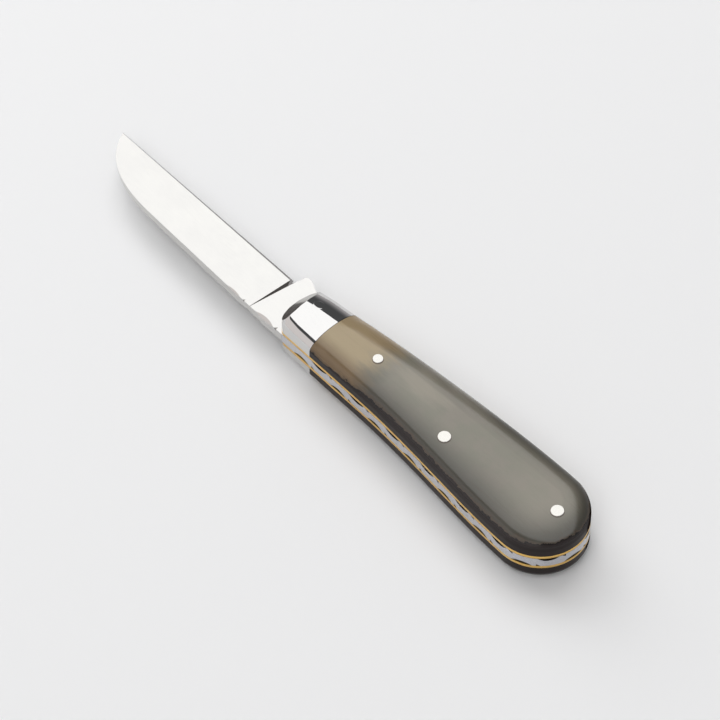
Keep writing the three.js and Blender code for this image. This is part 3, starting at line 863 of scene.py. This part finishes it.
# %% [markdown]
# ## Finished pieces
# A finished piece is a mesh object at the origin. It rides on a body of the knife, takes the finish
# it is given and may stand for a CAD node.

# %% Helper that finishes a piece
def finish_piece(name, shape, material, body, replaced=(), sharp=35):
    """sharp is the least angle, in degrees, of an edge that stays crisp."""
    mesh = bpy.data.meshes.new(name)
    shape.to_mesh(mesh)
    shape.free()
    if mesh.has_custom_normals:
        mesh.attributes.remove(mesh.attributes["custom_normal"])
    mesh.shade_smooth()
    mesh.set_sharp_from_angle(angle=math.radians(sharp))
    mesh.materials.append(material)
    piece = bpy.data.objects.new(name, mesh)
    bpy.context.scene.collection.objects.link(piece)
    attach(piece, body)
    if replaced:
        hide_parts(*replaced)
    mesh.calc_loop_triangles()
    print(name, "has", len(mesh.loop_triangles), "triangles")
    return piece


# %% [markdown]
# ## Covers: bolsters and scales
# Each side of the handle is one dome, shaped after the bolster and the scale were fitted
# together. Three measures give its shape at every point of the rim: how high the wall
# stands before the shoulder begins, how wide the shoulder is, and where the keel runs,
# the middle line of the crown. Tables of a few pairs hold the ones that change along the
# handle.

# %% Measures of the dome
LINER_FACE = 2.55  # from the middle plane to a liner's outer face
COVER_RISE = 5.8
COVER_WALL = 1.9
NOSE_WALL = 0.7
NOSE_REACH = 7.4
WALL_END = -1.5  # x where the wall begins to sink towards the nose
KEEL_HEIGHTS = ((5, 3.6), (-12, 1.66), (BUTT_X, BUTT_Y))  # x, y
SHOULDER_WIDTHS = (  # x, width
    (8, 9.0), (-6, 9.0), (-12, 6.4), (-20, 6.2), (-32, 5.6), (-45, 5.3),
    (-60, 4.9), (-95, 4.9))
SHOULDER_MOST = 0.96  # of the way from rim to keel


def read_table(table, x):
    """A straight line between the table's pairs, which run from large x to small x."""
    for (x0, y0), (x1, y1) in zip(table, table[1:]):
        if x >= x1:
            return y0 + (y1 - y0) * (x0 - x) / (x0 - x1)
    return table[-1][1]


def keel_point(rim):
    x = min(max(rim.x, BUTT_X), KEEL_HEIGHTS[0][0])
    return Vector((x, read_table(KEEL_HEIGHTS, x)))


def smooth(value):
    value = min(max(value, 0), 1)
    return value * value * (3 - 2 * value)


def wall_height(rim):
    share = smooth((rim.x - WALL_END) / (NOSE_REACH - WALL_END))
    return COVER_WALL + share * (NOSE_WALL - COVER_WALL)


def shoulder_share(rim):
    """How much of the way from rim to keel the shoulder takes."""
    width = read_table(SHOULDER_WIDTHS, rim.x) / (keel_point(rim) - rim).length
    return min(width, SHOULDER_MOST)


# %% [markdown]
# The dome grows from the outline. Its rim is extruded ring by ring, and each ring is
# drawn in towards the keel and lifted along a quarter ellipse, then carried on level
# across the crown. On the way each point notes what the horn's material wants to know:
# skin, share and side.

# %% Dome of the covers
DOME_RINGS = 30
CROWN_RINGS = 6
CROWN_END = 0.97  # the last ring's share of the way to the keel, closed by one flat face


def dome_rings():
    """Pairs: the turn up the shoulder, from 0 to 1, and the way on to the keel."""
    shoulder = [(k / DOME_RINGS, 0) for k in range(DOME_RINGS + 1)]
    return shoulder + [(1, CROWN_END * k / CROWN_RINGS) for k in range(1, CROWN_RINGS + 1)]


def dome_place(rim, turn, inner, side):
    """A dome point and its share of the way from the rim to the keel."""
    wall = wall_height(rim)
    share = shoulder_share(rim) * (1 - math.cos(turn * math.pi / 2))
    share += inner * (1 - share)
    x, y = rim.lerp(keel_point(rim), share)
    z = LINER_FACE + wall + math.sin(turn * math.pi / 2) * (COVER_RISE - wall)
    return Vector((x, y, MIDDLE_HEIGHT + side * z)) * MM, share


def make_dome(side):
    """side is 1 for the upper cover and -1 for the lower one."""
    shape = outline_ring()
    layers = shape.verts.layers
    rims = layers.float_vector.new("rim")
    skin, share, facing = (layers.float.new(name) for name in ("skin", "share", "side"))
    for v in shape.verts:
        v[rims] = v.co / MM
        v[facing] = (v[rims].xy - keel_point(v[rims].xy)).normalized().y
        v.co.z = (MIDDLE_HEIGHT + side * LINER_FACE) * MM
    bottom = shape.edges[:]
    edges = bottom
    for turn, inner in dome_rings():
        grown = bmesh.ops.extrude_edge_only(shape, edges=edges)["geom"]
        edges = [e for e in grown if isinstance(e, bmesh.types.BMEdge)]
        for v in (v for v in grown if isinstance(v, bmesh.types.BMVert)):
            place, v[share] = dome_place(v[rims].xy, turn, inner, side)
            v[skin] += (place - v.co).length / MM
            v.co = place
    bmesh.ops.edgeloop_fill(shape, edges=edges)
    bmesh.ops.edgeloop_fill(shape, edges=bottom)
    bmesh.ops.recalc_face_normals(shape, faces=shape.faces[:])
    return shape


# %% [markdown]
# The cutler files the bolster's nose back to a slope that follows the outline. Here five
# narrow cuts follow it. bisect_plane takes away what lies beyond a plane, and each cut is
# closed with a flat face, as a file leaves it.

# %% Filing the nose
NOSE_TIP = Vector((7.6, 2.0))
NOSE_FOOT = 2.65  # height of the slope's foot above the middle plane
NOSE_SLOPE = 1.2
NOSE_CURVE = 0.025  # how fast the cuts fall back to either side of the tip
NOSE_FLATS = (-20, -10, 0, 9, 17)  # each cut's angle across the nose, in degrees


def cut_off(shape, place, outward):
    """Takes away what lies beyond a plane and closes the shape with a flat face."""
    cut = bmesh.ops.bisect_plane(
        shape, geom=shape.verts[:] + shape.edges[:] + shape.faces[:],
        plane_co=Vector(place) * MM, plane_no=outward, clear_outer=True)
    rim = [e for e in cut["geom_cut"] if isinstance(e, bmesh.types.BMEdge)]
    bmesh.ops.edgeloop_fill(shape, edges=rim)
    bmesh.ops.recalc_face_normals(shape, faces=shape.faces[:])


def file_nose(shape, side):
    """Files the front back to a slope, in narrow flats that follow the outline."""
    for angle in NOSE_FLATS:
        lean = math.tan(math.radians(angle))
        y = NOSE_TIP.y + lean / (2 * NOSE_CURVE)
        x = NOSE_TIP.x - NOSE_CURVE * (y - NOSE_TIP.y) ** 2
        cut_off(shape, (x, y, MIDDLE_HEIGHT + side * NOSE_FOOT),
                (NOSE_SLOPE, NOSE_SLOPE * lean, side))


# %% [markdown]
# Cutting the dome at the joint gives the two pieces, so their surfaces meet exactly, as
# on the real handle, where both are ground in one go. A search tree of the whole dome is
# kept for each side, because the pins' heads are laid on that surface later.

# %% Bolsters and scales
JOINT_REACH = 7.4
SIDES = (("upper", 1), ("lower", -1))
surfaces = {}

for level, side in SIDES:
    whole = make_dome(side)
    file_nose(whole, side)
    surfaces[level] = BVHTree.FromBMesh(whole)
    whole.free()
    front = make_dome(side)
    cut_off(front, (-JOINT_REACH, 0, 0), (-1, 0, 0))
    file_nose(front, side)
    finish_piece(f"bolster_{level}_polished", front, NOSE_STEEL, "handle",
                 [f"bolster_{level}"], sharp=25)
    rear = make_dome(side)
    cut_off(rear, (-JOINT_REACH, 0, 0), (1, 0, 0))
    finish_piece(f"scale_{level}_polished", rear, HORN, "handle", [f"scale_{level}"])

# %% [markdown]
# ## Liners
# A liner is brass sheet, cut to the outline. The ring is filled and extruded by the
# sheet's thickness, and its edges are broken by a small bevel, which catches the light as
# the thin gold lines along the back.

# %% Liners
LINER_THICKNESS = LINER_FACE - GAP_HALF
LINER_BREAK = 0.08
SAME_HEIGHT = 0.01 * MM

for level, side in SIDES:
    sheet = outline_ring()
    bmesh.ops.translate(sheet, verts=sheet.verts[:],
                        vec=(0, 0, (MIDDLE_HEIGHT + side * GAP_HALF) * MM))
    faces = bmesh.ops.edgeloop_fill(sheet, edges=sheet.edges[:])["faces"]
    grown = bmesh.ops.extrude_face_region(sheet, geom=faces, use_keep_orig=True)["geom"]
    bmesh.ops.translate(sheet, verts=[g for g in grown if isinstance(g, bmesh.types.BMVert)],
                        vec=(0, 0, side * LINER_THICKNESS * MM))
    bmesh.ops.recalc_face_normals(sheet, faces=sheet.faces[:])
    rims = [e for e in sheet.edges if abs(e.verts[0].co.z - e.verts[1].co.z) < SAME_HEIGHT]
    bmesh.ops.bevel(sheet, geom=rims, offset=LINER_BREAK * MM, segments=2, profile=0.5,
                    affect="EDGES", material=-1)
    finish_piece(f"liner_{level}_sheet", sheet, BRASS, "handle", [f"liner_{level}"])

# %% [markdown]
# ## Pins
# A pin is hammered over at its ends and ground off with the dome, so its head follows the
# dome's surface. A ray from above, or from below for the lower side, finds that surface.
# The head starts as a disc that is inset ring by ring, and each ring is set on the
# surface with a slight crown of its own, rounded off at its rim.

# %% Heads of the pins
HEAD_RINGS = 5
HEAD_RIM = 0.06  # the first inset, as a share of the radius
RIM_CROWN_POWER = 40  # a high power keeps the crown level up to the rim
RIM_DROP = 0.03
RIM_DROP_POWER = 12


def surface_height(level, x, y):
    side = 1 if level == "upper" else -1
    hit = surfaces[level].ray_cast(Vector((x, y, side)), Vector((0, 0, -side)))
    return hit[0].z


def head_faces(shape, face):
    """The faces that lie level with the pin's end."""
    height = face.calc_center_median().z
    return [f for f in shape.faces if all(abs(v.co.z - height) < TOUCHING for v in f.verts)]


def set_head(shape, face, centre, radius, level, crown):
    """Insets the pin's end face and lays its rings on the dome."""
    side = 1 if level == "upper" else -1
    faces = [face]
    for k in range(HEAD_RINGS):
        step = radius / (HEAD_RINGS + 1) * MM if k else HEAD_RIM * radius * MM
        bmesh.ops.inset_region(shape, faces=faces, thickness=step, use_even_offset=True)
    for v in {v for f in head_faces(shape, face) for v in f.verts}:
        away = (v.co.xy - centre).length / (radius * MM)
        lift = crown * (1 - away ** RIM_CROWN_POWER) - RIM_DROP * away ** RIM_DROP_POWER
        v.co.z = surface_height(level, v.co.x, v.co.y) + side * lift * MM


# %% [markdown]
# Through pins hold both sides. Short pins end on the inner face of their liner, because
# the closed blade lies between the liners there. The pivot and the bolsters' pins are of
# the bolster's own steel and are ground flush, so that they vanish in the polish. The
# pins of nickel silver stand a tenth of a millimetre proud.

# %% Pins
FLUSH = 0.012
PROUD = 0.10
PIN_SEGMENTS = 48
THROUGH = ("lower", "upper")
SHORT = {"upper": (MIDDLE_HEIGHT + GAP_HALF, "upper"), "lower": ("lower", MIDDLE_HEIGHT - GAP_HALF)}


def make_pin(name, place, ends, crown, material, replaced):
    """ends gives the pin's lower and upper end: a height, or the cover it is flush with."""
    x, y, radius = place
    centre = Vector((x, y)) * MM
    heights = [surface_height(e, *centre) if isinstance(e, str) else e * MM for e in ends]
    shape = bmesh.new()
    bmesh.ops.create_cone(shape, cap_ends=True, segments=PIN_SEGMENTS, radius1=radius * MM,
                          radius2=radius * MM, depth=heights[1] - heights[0])
    bmesh.ops.translate(shape, verts=shape.verts[:], vec=(x * MM, y * MM, sum(heights) / 2))
    caps = [f for f in shape.faces if len(f.verts) == PIN_SEGMENTS]
    for end, height in zip(ends, heights):
        if isinstance(end, str):
            cap = min(caps, key=lambda f: abs(f.calc_center_median().z - height))
            set_head(shape, cap, centre, radius, end, crown)
    bmesh.ops.recalc_face_normals(shape, faces=shape.faces[:])
    finish_piece(name, shape, material, "handle", replaced)


make_pin("pivot_pin_flush", cad_pin("pivot_pin"), THROUGH, FLUSH, NOSE_STEEL,
         ["pivot_pin"])
for pin in ("centre_pin", "butt_pin"):
    make_pin(f"{pin}_headed", cad_pin(pin), THROUGH, PROUD, NICKEL, [pin])
for level, side in SIDES:
    make_pin(f"scale_pin_{level}_headed", cad_pin(f"scale_pin_{level}"), SHORT[level], PROUD,
             NICKEL, [f"scale_pin_{level}"])
    for i in (1, 2):
        pin = f"bolster_pin_{level}_{i}"
        make_pin(f"{pin}_flush", cad_pin(pin), SHORT[level], FLUSH, NOSE_STEEL,
                 [pin])

# %% [markdown]
# ## Blade and spring
# These two keep the CAD shape exactly, with its ground faces and filed notches. A copy of
# each mesh is merged, because it comes as loose triangles, and only its real corners stay
# sharp. The spring's copy also records how deep each point lies below the back, which
# tells the material where the notches are.

# %% Blade and spring
MERGED = 0.0005 * MM
BACK_CUTS = 20  # makes the outline finer, so that its nearest point is close to true
FLAT_BACK = (BACK_HEIGHT - 0.01) * MM  # y, just inside the straight back


def back_tree():
    """The outline's points, for finding how deep a point lies below the back."""
    ring = outline_ring()
    bmesh.ops.subdivide_edges(ring, edges=ring.edges[:], cuts=BACK_CUTS)
    points = KDTree(len(ring.verts))
    for v in ring.verts:
        points.insert((v.co.x, v.co.y, 0), v.index)
    points.balance()
    ring.free()
    return points


def mark_depth(shape):
    """Writes each point's depth below the outline. Above FLAT_BACK it stays 0."""
    depth = shape.verts.layers.float.new("depth")
    points = back_tree()
    for v in shape.verts:
        if v.co.y < FLAT_BACK:
            v[depth] = points.find((v.co.x, v.co.y, 0))[2] / MM


def merged_copy(node):
    shape = bmesh.new()
    shape.from_mesh(nodes[node].data)
    bmesh.ops.remove_doubles(shape, verts=shape.verts[:], dist=MERGED)
    bmesh.ops.recalc_face_normals(shape, faces=shape.faces[:])
    return shape


finish_piece("blade_ground", merged_copy("blade"), BLADE_STEEL, "blade",
             ["blade"], sharp=14)
filed = merged_copy("back_spring")
mark_depth(filed)
finish_piece("back_spring_filed", filed, SPRING_STEEL, "handle",
             ["back_spring"], sharp=25)

# %% [markdown]
# ## Finish on the CAD nodes
# The pieces above stand in for the CAD nodes. The nodes get the same finishes, so that a
# view of the plain CAD model shows the same materials.

# %% Finish on the CAD nodes
NODE_FINISHES = (  # a name's start and its finish; the first that fits is taken
    ("blade", BLADE_STEEL), ("back_spring", SPRING_STEEL), ("liner", BRASS),
    ("bolster", BOLSTER_STEEL), ("pivot", BOLSTER_STEEL), ("scale_pin", NICKEL),
    ("scale", PLAIN_HORN), ("centre_pin", NICKEL), ("butt_pin", NICKEL))

for name, node in nodes.items():
    finish = next(material for start, material in NODE_FINISHES if name.startswith(start))
    for i in range(len(node.data.materials)):
        node.data.materials[i] = finish
print("Finished", len(nodes), "CAD nodes")

# %% [markdown]
# ## Last update
# The view layer is updated once more.

# %% Last update
bpy.context.view_layer.update()
